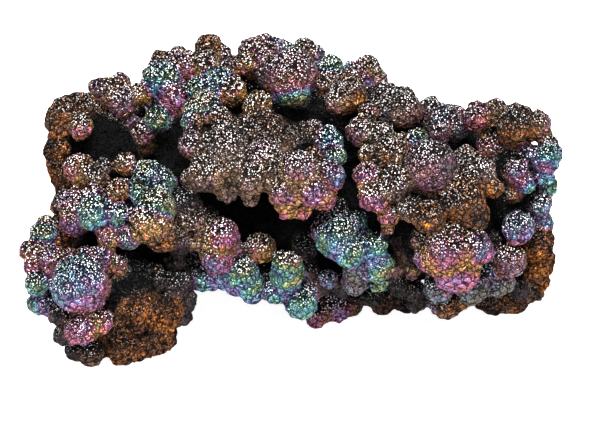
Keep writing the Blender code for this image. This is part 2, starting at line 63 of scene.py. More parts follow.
growths = {
    "left": {
        "rustNodule": (
            (-39.6, 14.6, 3.0, 2.8, "orange"), (-37.5, 15.5, 3.0, 2.7, "orange"),
            (-41.0, 12.5, 3.5, 2.2, "orange"), (-37.5, 12.0, 1.5, 2.0, "crimson"),
        ),
        "leftWall": (
            (-41.5, 8.5, 4.0, 2.6, "earth"), (-42.0, 6.0, 4.0, 1.9, "earth"), (-40.5, 4.0, 3.0, 2.7, "earth"),
            (-40.0, -0.5, 2.5, 2.7, "orange"), (-40.0, -4.5, 1.5, 2.5, "orange"),
            (-40.5, -7.5, 0.5, 2.0, "earth"),
        ),
        "leftHorn": (
            (-33.5, 18.2, 7.0, 2.4, "rose"), (-31.3, 19.6, 7.5, 1.8, "crimson"),
            (-31.0, 16.5, 6.5, 2.8, "rose"), (-30.0, 13.5, 8.0, 2.0, "steel"),
            (-33.5, 11.0, 9.0, 2.3, "dark"), (-35.5, 9.0, 9.0, 2.2, "dark"),
        ),
        "leftBrow": (
            (-37.5, 5.0, -1.0, 2.7, "crimson"), (-35.0, 4.0, -2.0, 2.0, "rust"),
            (-33.5, 5.5, 0.0, 1.8, "dark"), (-30.0, 6.0, -1.0, 1.8, "gold"), (-31.0, 1.5, -5.0, 2.1, "gold"),
            (-35.0, 1.0, -4.5, 1.7, "magenta"), (-26.0, 4.0, -2.5, 2.6, "teal"),
            (-24.0, 3.0, -2.5, 2.3, "teal"), (-28.0, 1.5, -4.5, 2.3, "olive"),
        ),
        "leftFace": (
            (-38.5, -0.5, -1.5, 2.7, "magenta"), (-38.0, -3.5, -2.5, 2.6, "magenta"),
            (-34.5, -2.0, -4.5, 3.5, "teal"), (-31.0, -3.0, -5.0, 2.7, "teal"),
            (-25.0, -1.0, -5.5, 3.5, "olive"), (-26.0, -4.0, -6.0, 3.4, "gold"),
            (-24.0, -6.0, -4.5, 3.0, "orange"), (-29.0, -6.0, -5.0, 2.5, "steel"),
            (-32.5, -6.0, -4.5, 2.2, "rose"), (-38.8, -6.8, 2.5, 2.4, "dark"),
        ),
        "leftSpur": (
            (-43.5, -6.0, 0.0, 2.4, "olive"), (-43.0, -4.0, 1.0, 1.8, "grey"),
            (-46.0, -8.5, -1.0, 1.8, "magenta"), (-44.5, -9.0, -1.5, 2.0, "magenta"),
            (-42.0, -9.5, -3.5, 2.3, "magenta"), (-39.5, -9.5, -3.5, 2.0, "magenta"),
            (-42.0, -11.5, -3.0, 1.7, "violet"), (-44.5, -14.0, -2.0, 2.2, "teal"),
            (-44.5, -17.0, 0.0, 2.0, "teal"), (-42.5, -17.5, -0.5, 1.9, "teal"),
            (-45.3, -10.9, -1.5, 1.7, "magenta"), (-42.3, -15.2, 2.0, 1.9, "dark"),
        ),
        "tealDome": (
            (-37.5, -13.5, -6.0, 4.7, "teal"), (-34.0, -10.0, -4.5, 2.7, "violet"),
            (-31.5, -11.0, -4.0, 2.0, "rose"), (-36.5, -9.0, -4.0, 1.9, "violet"),
        ),
        "pinkBlock": (
            (-37.0, -21.0, -4.5, 3.0, "magenta"), (-34.0, -20.5, -4.0, 2.3, "magenta"),
            (-40.5, -19.0, -2.0, 2.0, "dark"), (-40.0, -22.5, -1.5, 1.9, "dark"),
            (-38.0, -25.0, "ground", 1.7, "dark"),
        ),
        "leftFoot": (
            (-30.5, -22.0, "ground", 4.6, "earth"), (-25.5, -21.5, "ground", 4.5, "earth"),
            (-28.0, -18.0, -1.0, 4.0, "earth"), (-23.0, -18.0, 2.0, 3.3, "earth"),
            (-35.5, -25.5, "ground", 2.1, "rust"), (-33.5, -24.5, "ground", 2.2, "dark"),
            (-30.5, -25.5, "ground", 2.4, "earth"), (-27.0, -24.6, "ground", 2.6, "earth"),
            (-23.8, -23.6, "ground", 2.3, "earth"),
        ),
        "leftSparkles": (
            (-30.5, -14.0, -1.0, 2.4, "dark"), (-28.0, -12.0, -1.0, 2.0, "dark"),
            (-24.5, -13.5, 0.0, 2.0, "dark"), (-21.5, -14.0, 1.0, 2.5, "dark"),
            (-20.0, -17.0, 3.0, 2.1, "dark"), (-20.5, -19.5, 4.5, 1.8, "dark"),
            (-25.0, -12.0, 0.0, 1.6, "gold"),
        ),
        "domeRim": (
            (-36.9, -14.1, -5.2, 4.6, "magenta"),
        ),
    },
    "middle": {
        "rustBrow": (
            (-17.0, 15.0, -1.0, 3.1, "olive"), (-18.5, 13.0, -1.5, 2.0, "olive"),
            (-14.5, 13.0, -1.5, 2.7, "rust"), (-17.5, 13.0, -3.5, 1.2, "orange"),
            (-8.0, 15.5, -1.0, 2.7, "gold"), (-6.0, 12.0, -2.0, 2.9, "orange"),
            (-9.0, 11.0, -2.5, 2.8, "rust"), (-3.5, 10.0, -2.0, 2.5, "rust"),
        ),
        "greyFace": (
            (-18.0, 9.0, -3.0, 3.0, "plum"), (-13.5, 8.5, -4.5, 3.9, "grey"), (-16.0, 4.5, -4.5, 3.6, "grey"),
            (-12.0, 5.5, -5.0, 2.9, "grey"), (-18.5, 4.0, -3.0, 2.2, "grey"), (-13.0, 1.5, -3.5, 1.9, "grey"),
            (-6.5, 7.0, -4.5, 3.4, "rose"), (-9.0, 3.0, -5.0, 2.8, "grey"), (-5.5, 4.0, -5.5, 3.1, "grey"),
            (-9.0, 0.0, -4.0, 1.7, "grey"),
        ),
        "middleBoss": (
            (-1.0, 5.0, -7.0, 3.4, "rose"), (-3.0, 1.5, -6.5, 3.1, "rose"), (1.0, 1.5, -6.5, 3.1, "magenta"),
            (4.0, 4.0, -6.0, 2.7, "violet"), (3.0, 0.5, -5.5, 2.1, "magenta"),
            (1.0, 7.0, -5.0, 2.0, "orange"), (-3.0, -1.0, -5.0, 2.2, "magenta"),
            (-0.5, -1.5, -5.0, 1.9, "magenta"),
        ),
        "middleBeads": (
            (0.5, 11.0, 1.0, 1.9, "rose"), (-1.5, 10.5, -0.5, 1.7, "grey"), (4.0, 9.5, 0.0, 2.4, "teal"),
            (1.5, 12.0, 2.5, 1.3, "steel"), (5.0, 7.5, -1.5, 1.9, "teal"),
        ),
        "darkMatrix": (
            (-20.0, -0.5, -1.0, 2.7, "dark"), (-19.0, -3.5, -1.0, 2.8, "grey"),
            (-21.0, -7.0, -0.5, 2.8, "dark"), (-16.5, -3.0, 1.0, 2.3, "dark"),
            (-18.0, -6.5, 0.0, 2.6, "grey"), (-21.5, -10.0, 1.0, 2.0, "dark"),
            (-14.0, -6.0, -0.5, 3.0, "magenta"), (-14.5, -9.5, 0.5, 2.8, "magenta"),
            (-12.0, -8.0, 1.0, 1.9, "rose"), (-17.8, -10.3, 5.5, 2.4, "dark"),
        ),
        "tealHem": (
            (-16.5, -13.0, 3.0, 2.3, "teal"), (-14.0, -12.5, 2.5, 2.3, "teal"),
            (-11.0, -12.0, 2.0, 3.0, "olive"), (-9.5, -14.0, 3.0, 2.8, "green"),
            (-12.0, -14.5, 3.5, 1.7, "teal"), (-8.5, -15.5, 4.0, 1.7, "teal"), (-7.5, -8.0, 2.0, 2.6, "gold"),
            (-3.0, -10.5, 0.0, 2.4, "olive"), (-3.0, -12.5, 2.0, 2.8, "olive"),
            (-5.0, -15.5, 4.0, 2.1, "teal"), (-2.5, -14.0, 3.5, 1.8, "teal"),
        ),
        "lowBeads": (
            (-0.5, -17.0, 5.0, 2.9, "blue"), (5.0, -18.0, "ground", 3.0, "magenta"),
            (7.5, -17.5, "ground", 2.2, "grey"), (2.4, -19.2, "ground", 2.2, "magenta"),
            (4.0, -13.0, 3.0, 1.7, "violet"), (11.0, -16.0, 9.0, 2.2, "dark"),
            (13.2, -16.9, "ground", 2.4, "rust"), (17.0, -16.6, "ground", 2.2, "dark"),
            (0.0, -8.0, 5.0, 2.2, "dark"), (0.5, -12.0, 5.0, 2.0, "dark"), (2.0, -14.3, 6.0, 2.4, "dark"),
            (5.8, -14.3, 6.5, 2.3, "dark"), (-6.7, -12.8, 5.5, 2.0, "dark"),
        ),
    },
    "crest": {
        "leftCrest": (
            (-24.0, 20.0, 8.0, 3.4, "teal"), (-27.5, 17.5, 8.0, 1.9, "gold"),
            (-21.5, 17.0, 7.5, 2.8, "violet"), (-24.5, 14.0, 8.0, 2.6, "olive"),
            (-24.5, 22.0, 9.5, 1.8, "orange"), (-24.0, 23.4, 11.5, 1.9, "rust"),
            (-21.0, 24.3, 11.0, 1.9, "steel"), (-20.0, 22.5, 9.0, 2.6, "crimson"),
            (-16.5, 25.5, 12.0, 2.5, "orange"), (-16.5, 22.5, 9.0, 2.2, "rose"),
            (-14.0, 24.5, 12.0, 1.5, "violet"),
        ),
        "goldCrest": (
            (-14.5, 19.5, 6.0, 3.3, "teal"), (-12.0, 18.0, 5.0, 2.7, "gold"),
            (-17.5, 18.5, 6.0, 2.5, "olive"), (-10.5, 22.5, 8.0, 1.7, "crimson"),
            (-12.3, 22.6, 9.5, 1.8, "dark"),
        ),
        "summit": (
            (-8.0, 24.0, 10.0, 3.5, "rose"), (-6.0, 24.8, 11.0, 2.7, "teal"), (-3.5, 25.0, 11.0, 2.1, "teal"),
            (-2.5, 21.0, 5.0, 4.4, "rose"), (-2.0, 18.5, 4.5, 3.4, "olive"), (-6.5, 20.0, 7.5, 1.8, "dark"),
            (0.0, 25.5, 13.0, 1.9, "rust"), (2.0, 24.5, 13.0, 1.6, "steel"),
        ),
        "rightCrest": (
            (4.5, 22.5, 8.0, 2.2, "green"), (3.5, 19.5, 7.0, 1.9, "crimson"), (7.0, 18.0, 5.0, 3.4, "rust"),
            (5.5, 16.5, 3.5, 1.9, "rose"), (5.5, 13.0, 8.5, 2.6, "dark"), (10.5, 22.0, 12.0, 2.5, "grey"),
            (12.5, 20.5, 12.0, 1.5, "grey"), (8.0, 21.0, 9.0, 1.6, "rose"),
        ),
        "rightSlope": (
            (13.5, 17.4, 8.5, 2.6, "grey"), (16.5, 16.7, 9.0, 2.4, "grey"), (17.0, 15.0, 7.0, 3.1, "grey"),
            (13.5, 14.5, 7.0, 2.5, "dark"), (21.0, 15.5, 10.0, 2.0, "steel"), (23.0, 13.5, 9.0, 2.6, "steel"),
            (25.0, 12.0, 8.5, 2.0, "steel"), (22.5, 11.0, 5.0, 1.9, "rose"), (22.0, 8.5, 7.0, 1.6, "dark"),
        ),
    },
    "right": {
        "rightHead": (
            (29.0, 14.0, 5.0, 2.8, "crimson"), (32.0, 15.5, 6.0, 1.6, "rose"),
            (35.0, 12.5, 3.0, 3.4, "orange"), (39.0, 12.0, 5.0, 2.6, "rose"), (41.0, 9.5, 5.0, 2.0, "rose"),
            (31.0, 9.0, 6.5, 2.8, "crimson"), (34.0, 8.0, 6.0, 2.2, "dark"),
        ),
        "blueLobe": (
            (40.5, 7.0, 3.0, 2.8, "blue"), (40.0, 4.5, 3.0, 2.1, "blue"), (37.5, 7.5, 3.5, 1.7, "blue"),
            (35.5, 4.5, 2.0, 2.2, "violet"), (37.0, 2.5, 2.0, 1.9, "blue"), (35.0, 1.0, 3.0, 1.5, "magenta"),
        ),
        "rightBeads": (
            (39.5, -1.0, 4.0, 2.2, "violet"), (40.0, -3.5, 5.0, 1.7, "teal"),
            (35.5, -4.5, 1.0, 2.9, "violet"), (34.0, -10.0, 2.5, 2.8, "rose"),
            (32.5, -13.5, 5.0, 2.8, "steel"), (31.0, -6.5, 4.0, 2.1, "dark"), (32.0, -2.0, 5.5, 2.2, "dark"),
        ),
        "rightRind": (
            (38.5, -7.5, 5.0, 2.8, "earth"), (40.0, -6.5, 6.0, 1.7, "earth"),
            (39.0, -11.5, 7.0, 2.8, "earth"), (40.0, -14.0, 9.0, 1.9, "earth"),
            (36.0, -14.5, 8.5, 2.2, "dark"), (40.3, -9.3, 6.5, 2.0, "earth"),
        ),
        "rightFoot": (
            (32.0, -16.5, "ground", 2.7, "rust"), (35.5, -16.0, "ground", 2.9, "rust"),
            (38.3, -15.4, "ground", 2.4, "rust"), (30.0, -17.1, "ground", 2.0, "rust"),
        ),
        "rightBoss": (
            (21.0, 5.5, -4.0, 4.5, "plum"), (14.0, 8.0, -1.5, 3.1, "rust"), (11.0, 7.5, 0.0, 2.0, "gold"),
            (18.5, 10.0, 0.5, 2.1, "olive"), (16.0, 9.5, 0.5, 1.9, "gold"), (15.0, 2.5, -4.0, 3.0, "grey"),
        ),
        "pinkFace": (
            (10.5, 4.0, -4.0, 2.7, "crimson"), (11.5, 0.5, -4.0, 2.8, "magenta"),
            (13.5, -2.5, -3.0, 2.0, "magenta"), (13.5, -4.5, -2.0, 1.3, "rose"),
        ),
        "pinkHorn": (
            (10.5, 14.5, 3.0, 2.0, "crimson"), (9.5, 11.5, 1.5, 2.7, "rose"), (12.5, 11.0, 1.0, 2.4, "grey"),
        ),
        "rustCup": (
            (26.0, -0.5, -3.5, 3.8, "orange"), (28.5, -2.5, -2.5, 2.6, "orange"),
            (29.0, 4.5, -1.0, 2.9, "grey"), (31.0, 2.0, -0.5, 2.0, "orange"), (27.0, 6.5, -0.5, 2.6, "rust"),
            (26.0, 3.0, -2.5, 2.3, "rust"), (20.5, -2.5, -6.0, 2.9, "orange"),
            (17.5, -1.5, -4.0, 2.1, "grey"),
        ),
        "violetBoss": (
            (23.5, -8.0, -4.0, 4.0, "crimson"), (28.0, -8.0, -2.5, 3.2, "magenta"),
            (25.0, -11.5, -1.0, 3.9, "magenta"), (21.0, -9.5, -2.5, 2.7, "violet"),
            (19.5, -6.5, -2.0, 1.9, "rose"), (28.0, -14.0, 4.0, 3.1, "steel"),
            (22.5, -14.5, 3.5, 2.7, "steel"), (30.5, -12.0, 4.0, 2.3, "teal"),
            (24.0, -17.5, 9.0, 2.5, "rust"), (22.0, -17.0, 9.0, 1.9, "teal"), (26.5, -16.5, 8.5, 2.1, "rust"),
        ),
        "tealBoss": (
            (5.5, -6.0, -1.0, 3.5, "teal"), (3.0, -4.5, 0.5, 2.3, "magenta"), (7.5, -8.5, -1.0, 2.9, "green"),
            (5.0, -2.0, 2.0, 2.4, "dark"), (8.5, -4.0, 1.0, 2.6, "teal"), (11.0, -8.0, 0.0, 3.2, "green"),
            (12.0, -11.0, 1.0, 3.0, "green"), (8.5, -11.5, 1.0, 2.5, "steel"),
            (8.5, -13.5, 3.0, 2.4, "steel"), (12.5, -13.5, 4.0, 2.1, "green"),
        ),
        "pinkSpecks": (
            (18.0, -12.0, 4.0, 1.3, "rose"), (17.0, -8.5, 3.0, 1.5, "rose"),
            (16.5, -6.0, 2.0, 1.5, "magenta"), (15.0, -11.0, 5.5, 1.8, "rose"),
            (16.0, -14.0, 7.0, 1.9, "dark"), (18.5, -15.0, 7.0, 1.8, "dark"), (18.9, -17.0, 8.5, 1.8, "dark"),
        ),
        "headFill": (
            (33.2, 12.0, 12, 3.2, "dark"),
        ),
    },
}

# The rock inside, as ellipsoids: lobe, centre, half sizes, and how many lumps its back carries.
rockInside = (
    ("left", (-30, 4, 19), (10.0, 8.0, 8.5), 0),
    ("left", (-34, 13, 24), (6.5, 6.5, 9.5), 14),
    ("left", (-31, -6, 9), (7.5, 6.0, 8.5), 0),
    ("middle", (-18, 10, 19), (8.5, 6.5, 9.5), 0),
    ("middle", (-8, 6, 30), (11.0, 6.5, 6.5), 0),
    ("crest", (-17, 18, 26), (12.0, 7.5, 11.0), 20),
    ("crest", (2, 18, 27), (15.0, 8.0, 10.2), 24),
    ("crest", (19.5, 16, 20.5), (12.0, 7.5, 9.8), 20),
    ("right", (22, 3, 19), (10.0, 7.5, 11.5), 0),
    ("right", (34.5, 8.5, 17), (5.2, 7.0, 12.5), 16),
    ("rear", (4, 9, 14), (24.0, 8.0, 9.5), 0),
    ("rear", (-27, 14, 8), (8.0, 6.5, 9.0), 14),
    ("rear", (4, 19, 9), (13.0, 7.0, 10.0), 20),
    ("rear", (27, 13, 8), (9.0, 7.0, 9.0), 14),
)

back = {
    "seed": 5,
    "sizes": (2.1, 3.9),
    "facing": 0.1,  # a core's back is where its outward direction's Y share is above this
    "patchSeed": 8,
    "patches": (
        "grey rust teal grey rose steel dark gold grey violet rust magenta grey earth teal grey"
    ).split(),
}

# What each finish is made of. film: place in the run of interference colours, tarnish: how strong they
# are, rust: share of iron rust, earth: how dull and crumbly it is, dark: share of black matrix,
# crag: how broken the surface is, knob: mean radius of the small knobs.
traits = ("film", "tarnish", "rust", "earth", "dark", "crag")
finishes = {
    name: dict(zip((*traits, "knob"), values))
    for name, *values in (
        ("teal", 0.71, 0.80, 0.02, 0.0, 0.05, 0.05, 0.75),
        ("green", 0.78, 0.80, 0.02, 0.0, 0.00, 0.05, 0.70),
        ("olive", 0.88, 0.75, 0.15, 0.0, 0.10, 0.10, 0.70),
        ("gold", 0.12, 0.88, 0.25, 0.0, 0.05, 0.10, 0.70),
        ("magenta", 0.36, 0.82, 0.06, 0.0, 0.00, 0.10, 0.70),
        ("crimson", 0.27, 0.85, 0.18, 0.0, 0.05, 0.10, 0.70),
        ("plum", 0.38, 0.34, 0.34, 0.0, 0.10, 0.20, 0.00),
        ("rose", 0.30, 0.50, 0.22, 0.0, 0.12, 0.15, 0.65),
        ("violet", 0.46, 0.75, 0.00, 0.0, 0.05, 0.05, 0.60),
        ("blue", 0.65, 0.92, 0.00, 0.0, 0.00, 0.00, 0.55),
        ("grey", 0.24, 0.18, 0.28, 0.1, 0.10, 0.25, 0.60),
        ("steel", 0.62, 0.24, 0.04, 0.0, 0.15, 0.15, 0.60),
        ("dark", 0.50, 0.20, 0.10, 0.0, 0.60, 0.30, 0.60),
        ("rust", 0.20, 0.25, 0.66, 0.3, 0.08, 0.45, 0.65),
        ("orange", 0.13, 0.20, 0.95, 0.5, 0.00, 0.45, 0.70),
        ("earth", 0.20, 0.06, 0.75, 1.0, 0.12, 1.00, 0.00),
        ("matrix", 0.50, 0.10, 0.10, 0.8, 1.00, 0.60, 0.00),
    )
}
matrixFinish = "matrix"  # the rock inside, where it shows between the lumps
shownTraits = ("film", "tarnish", "rust", "earth", "dark", "rim", "crease", "upper")  # what the looks read

skin = {
    "voxel": 0.29,
    "quickVoxel": 0.60,
    "faces": 188000,  # of each lobe
    "lumpShare": 0.95,  # a lump's own radius, as a share of the listed one, before its knobs
    "lumpGrid": (20, 32),  # rings and sectors of a lump's ball, and of a knob's
    "knobGrid": (7, 10),
    "knobSeed": 21,
    "knobSpread": (0.45, 1.5),  # of the mean radius
    "knobReach": 0.58,  # how far a knob's centre is sunk, as a share of its radius
    "knobMost": 0.34,  # mean radius of the knobs at most, as a share of the lump's
    "knobCover": 0.95,  # knobs per area that one covers
    "knobSpacing": 1.35,  # radius of that area, as a share of the knob's
    "knobJitter": (0.06, 0.09),  # of how far out a knob stands, and of its direction
    "knobBuried": 0.6,  # a knob deeper than this in another lump is left out, as a share of its radius
    "reach": 8.0,  # how far from a lump its finish is looked for
    "blend": 0.45,  # width over which the finishes of two lumps run together
    "fade": 30,  # widths past which a lump's share stops falling
    "rim": 1.6,  # width of the rim of a lump, where it meets its neighbours
    "meltFrom": 1.7,  # radius from which lumps run together where they meet
    "meltRange": (0.2, 2.5),  # least and most radius above that to count
    "melt": 0.9,  # width over which they run together, for each millimetre of radius that counts
    "swellSize": 3.4,  # soft dents and swellings that take lumps away from round
    "swellDepth": 1.2,
    "swellSalt": 70,
    "grainSize": 0.8,
    "grainDepth": 0.12,
    "grainSalt": 3,
    "wearRounds": 36,  # smoothing that runs broken lumps together
    "wearGain": 1.4,  # how fast it sets in with the crag trait, and where
    "wearFrom": 0.4,
    "cragSize": 2.7,
    "cragDepth": 1.5,
    "cragOctaves": 5,
    "cragMean": 0.66,  # ridge height that stays in place
    "cragSalt": 40,
    "creaseRounds": 8,  # smoothing that finds narrow creases, and the lift that makes one full
    "creaseDepth": 0.13,
    "hollowRounds": 60,  # the same for wide hollows
    "hollowDepth": 0.75,
    "upper": (0.35, 1.0, -0.15),  # light of a wall, and what facing up and facing right add to it
}


def placed(across, up, into, radius):
    # A listed lump's centre. One that stands on the ground finds its own depth.
    sine, cosine = math.sin(reading["lookDown"]), math.cos(reading["lookDown"])
    if into == "ground":
        into = (reading["eyeLevel"] + up * cosine - reading["sunk"] * radius) / sine
    return across, up * sine + into * cosine, reading["eyeLevel"] + up * cosine - into * sine


def spreadDirections(count, turn):
    # Directions spread evenly over a sphere along a golden spiral: equal steps of height, and
    # turned by the golden angle at each step.
    step = np.arange(count) + 0.5
    height = 1 - 2 * step / count
    angle = step * math.pi * (3 - math.sqrt(5)) + turn
    ring = np.sqrt(1 - height**2)
    return np.stack((ring * np.cos(angle), ring * np.sin(angle), height), axis=1)


def backLumps():
    # Lumps over the backs of the cores. Each takes its finish from the nearest of some patches.
    random = np.random.default_rng(back["seed"])
    found = []
    for _, centre, halfSizes, count in rockInside:
        directions = spreadDirections(2 * count, random.uniform(0, math.tau)) if count else []
        for direction in directions:
            radius = random.uniform(*back["sizes"])
            place = np.array(centre) + direction * np.array(halfSizes)
            if direction[1] > back["facing"] and place[2] > reading["sunk"] * radius:
                found.append((*place, radius))
    found = np.array(found)
    patches = np.random.default_rng(back["patchSeed"]).permutation(found)[: len(back["patches"]), :3]
    gaps = np.linalg.norm(found[:, None, :3] - patches, axis=2)
    return [("rear", *lump, back["patches"][patch]) for lump, patch in zip(found, gaps.argmin(axis=1))]


def gatherGrowth():
    # Every lump and core as rows of x, y, z and three half sizes, with its lobe and its finish, all
    # moved so that the growth's box stands where the solid's does.
    lumps = [
        (lobe, *placed(*lump[:4]), lump[3], lump[4])
        for lobe, clusters in growths.items()
        for cluster in clusters.values()
        for lump in cluster
    ] + backLumps()
    rows = [(x, y, z, radius, radius, radius) for _, x, y, z, radius, _ in lumps]
    rows += [(*centre, *halfSizes) for _, centre, halfSizes, _ in rockInside]
    rows = np.array(rows, np.float32)
    low, high = (rows[:, :3] - rows[:, 3:]).min(axis=0), (rows[:, :3] + rows[:, 3:]).max(axis=0)
    middle = np.array(cadBox[0] + cadBox[1]) / (2 * mm)
    rows[:, :2] += (middle - (low + high) / 2)[:2]
    lobeNames = np.array([lump[0] for lump in lumps] + [core[0] for core in rockInside])
    finishNames = np.array([lump[5] for lump in lumps] + [matrixFinish] * len(rockInside))
    print(f"growth: {len(lumps)} lumps on {len(rockInside)} cores")
    return rows, lobeNames, finishNames, (middle - (low + high) / 2)[:2]


def knobsOn(growth, finishNames):
    # Small round knobs all over each lump, spread by a golden spiral, less those that another lump
    # covers. Rows of x, y, z and three half sizes, and the number of the lump that each grows on.
    random = np.random.default_rng(skin["knobSeed"])
    outJitter, sideJitter = skin["knobJitter"]
    rows, owners = [], []
    for number, ((x, y, z, radius, *_), finish) in enumerate(zip(growth, finishNames)):
        mean = finishes[finish]["knob"]
        if mean == 0 or number >= len(growth) - len(rockInside):
            continue
        mean = min(mean, radius * skin["knobMost"])
        count = int(skin["knobCover"] * 4 * radius**2 / (skin["knobSpacing"] * mean) ** 2)
        sizes = mean * random.uniform(*skin["knobSpread"], count)
        away = radius * skin["lumpShare"] - skin["knobReach"] * sizes + random.normal(0, outJitter, count)
        turned = spreadDirections(count, random.uniform(0, math.tau))
        turned = turned + random.normal(0, sideJitter, (count, 3))
        turned /= np.linalg.norm(turned, axis=1)[:, None]
        centres = np.array((x, y, z)) + turned * away[:, None]
        rows.append(np.concatenate((centres, np.repeat(sizes[:, None], 3, 1)), 1))
        owners.append(np.full(count, number))
    rows, owners = np.concatenate(rows), np.concatenate(owners)
    depth = np.full(len(rows), -1e9)
    for number, (x, y, z, *halfSizes) in enumerate(growth):
        inward = (1 - np.linalg.norm((rows[:, :3] - (x, y, z)) / halfSizes, axis=1)) * min(halfSizes)
        depth = np.where(owners == number, depth, np.maximum(depth, inward))
    kept = (depth < skin["knobBuried"] * rows[:, 3]) & (rows[:, 2] > -rows[:, 3])
    print(f"knobs: {kept.sum()} of {len(rows)} show")
    return rows[kept], owners[kept]


def ballGrid(rings, sectors):
    # A ball of radius 1 over two angles: x = sin a cos b, y = sin a sin b, z = cos a, with a from
    # pole to pole and b once around, closed by a point at each pole.
    a = np.pi * np.arange(1, rings) / rings
    b = 2 * np.pi * np.arange(sectors) / sectors
    x, y = np.outer(np.sin(a), np.cos(b)), np.outer(np.sin(a), np.sin(b))
    around = np.stack((x, y, np.outer(np.cos(a), np.ones(sectors))), axis=-1)
    points = np.concatenate((around.reshape(-1, 3), ((0, 0, 1), (0, 0, -1))))
    here = np.arange((rings - 1) * sectors).reshape(rings - 1, sectors)
    beside = np.roll(here, -1, axis=1)
    top, bottom = np.full(sectors, len(points) - 2), np.full(sectors, len(points) - 1)
    corners = (
        (here[:-1].ravel(), here[1:].ravel(), beside[1:].ravel()),
        (here[:-1].ravel(), beside[1:].ravel(), beside[:-1].ravel()),
        (top, here[0], beside[0]),
        (bottom, beside[-1], here[-1]),
    )
    return points, np.concatenate([np.stack(corner, axis=1) for corner in corners])


def ballsOf(rows, rings, sectors):
    # Copies of the ball, each with its own centre and half sizes: points and triangles.
    points, triangles = ballGrid(rings, sectors)
    places = rows[:, None, :3] + points * rows[:, None, 3:]
    corners = triangles + np.arange(len(rows))[:, None, None] * len(points)
    return places.reshape(-1, 3), corners.reshape(-1, 3)


def meshOf(name, points, triangles):
    mesh = bpy.data.meshes.new(name)
    mesh.vertices.add(len(points))
    mesh.vertices.foreach_set("co", points.astype(np.float32).ravel())
    mesh.loops.add(triangles.size)
    mesh.loops.foreach_set("vertex_index", triangles.astype(np.int32).ravel())
    mesh.polygons.add(len(triangles))
    mesh.polygons.foreach_set("loop_start", np.arange(0, triangles.size, 3, dtype=np.int32))
    mesh.update(calc_edges=True)
    return mesh


def finished(piece):
    # The piece with its modifiers applied.
    graph = bpy.context.evaluated_depsgraph_get()
    graph.update()
    shaped = bpy.data.meshes.new_from_object(piece.evaluated_get(graph))
    piece.modifiers.clear()
    old, piece.data = piece.data, shaped
    bpy.data.meshes.remove(old)


def readPoints(mesh, what="co"):
    values = np.empty(len(mesh.vertices) * 3, np.float32)
    mesh.vertices.foreach_get(what, values)
    return values.reshape(-1, 3)


def chance(cells, salt):
    # A scrambled share from 0 to 1 for each whole-numbered cell: its numbers times large primes, folded.
    h = cells[..., 0] * np.uint32(73856093) ^ cells[..., 1] * np.uint32(19349663)
    h = h ^ cells[..., 2] * np.uint32(83492791) ^ np.uint32(salt * 40503 + 977)
    h = (h ^ (h >> np.uint32(15))) * np.uint32(2246822519)
    h = (h ^ (h >> np.uint32(13))) * np.uint32(3266489917)
    return ((h ^ (h >> np.uint32(16))) & np.uint32(0xFFFFFF)).astype(np.float32) / 0xFFFFFF


def cloud(points, size, salt):
    # Smooth value noise from 0 to 1: chances at the corners of cells, blended by s = t * t * (3 - 2 t).
    scaled = points / size + 500
    corner = np.floor(scaled)
    share = (scaled - corner).astype(np.float32)
    share = share * share * (3 - 2 * share)
    corner = corner.astype(np.uint32)
    total = 0
    for step in np.ndindex(2, 2, 2):
        weight = np.prod(np.where(step, share, 1 - share), axis=1)
        total = total + weight * chance(corner + np.array(step, np.uint32), salt)
    return total


def ridges(points, size, salt, octaves):
    # Broken relief from 0 to 1: octaves of 1 - |2 cloud - 1|, each half as large and half as high.
    total = sum(0.5**o * (1 - abs(2 * cloud(points, size / 2**o, salt + o) - 1)) for o in range(octaves))
    return total / sum(0.5**o for o in range(octaves))


def scales(points, size, salt):
    # Rounded scales: 1 at the middle of each cell of a jittered lattice, falling with the squared
    # distance to its middle, and 0 at about half a cell away.
    scaled = points / size + 500
    corner = np.floor(scaled).astype(np.uint32)
    nearest = np.full(len(points), 9, np.float32)
    for step in np.ndindex(3, 3, 3):
        cell = corner + np.array(step, np.uint32) - np.uint32(1)
        seed = np.stack([chance(cell, salt + axis) for axis in range(3)], axis=1)
        nearest = np.minimum(nearest, ((cell + 0.1 + 0.8 * seed - scaled) ** 2).sum(axis=1))
    return np.clip(1 - nearest * 2.2, 0, 1)


def traitsAt(points, growth, finishNames):
    # Each trait at each point, blended from the lumps by exp(-distance to the lump / blend), and how
    # far on a lump's rim the point is: 1 where two lumps are equally near, 0 at the rim's width.
    # fillet is how much a smooth union of the two nearest lumps adds: width / 4 times the square of
    # 1 - (difference of their distances) / width.
    gaps = np.full((2, len(points)), 1e9, np.float32)
    near = []
    least, most = skin["meltRange"]
    for x, y, z, *halfSizes in growth:
        box = np.abs(points - (x, y, z)).max(axis=1) < max(halfSizes) + skin["reach"]
        inside = np.nonzero(box)[0]
        offset = (points[inside] - (x, y, z)) / halfSizes
        gap = (np.sqrt((offset * offset).sum(axis=1)) - 1) * min(halfSizes)
        near.append((inside, gap))
        first = gaps[0, inside]
        gaps[1, inside] = np.minimum(gaps[1, inside], np.maximum(first, gap))
        gaps[0, inside] = np.minimum(first, gap)
    total = np.zeros(len(points), np.float32)
    values = np.zeros((len(traits) + 1, len(points)), np.float32)
    for (inside, gap), finish, radius in zip(near, finishNames, growth[:, 3:].min(axis=1)):
        weight = np.exp(-np.minimum((gap - gaps[0, inside]) / skin["blend"], skin["fade"]))
        total[inside] += weight
        for row, trait in enumerate(traits):
            values[row, inside] += weight * finishes[finish][trait]
        values[-1, inside] += weight * min(max(radius - skin["meltFrom"], least), most) * skin["melt"]
    values /= total
    found = dict(zip(traits, values))
    found["rim"] = np.clip(1 - (gaps[1] - gaps[0]) / skin["rim"], 0, 1)
    found["fillet"] = values[-1] / 4 * np.clip(1 - (gaps[1] - gaps[0]) / values[-1], 0, 1) ** 2
    return found


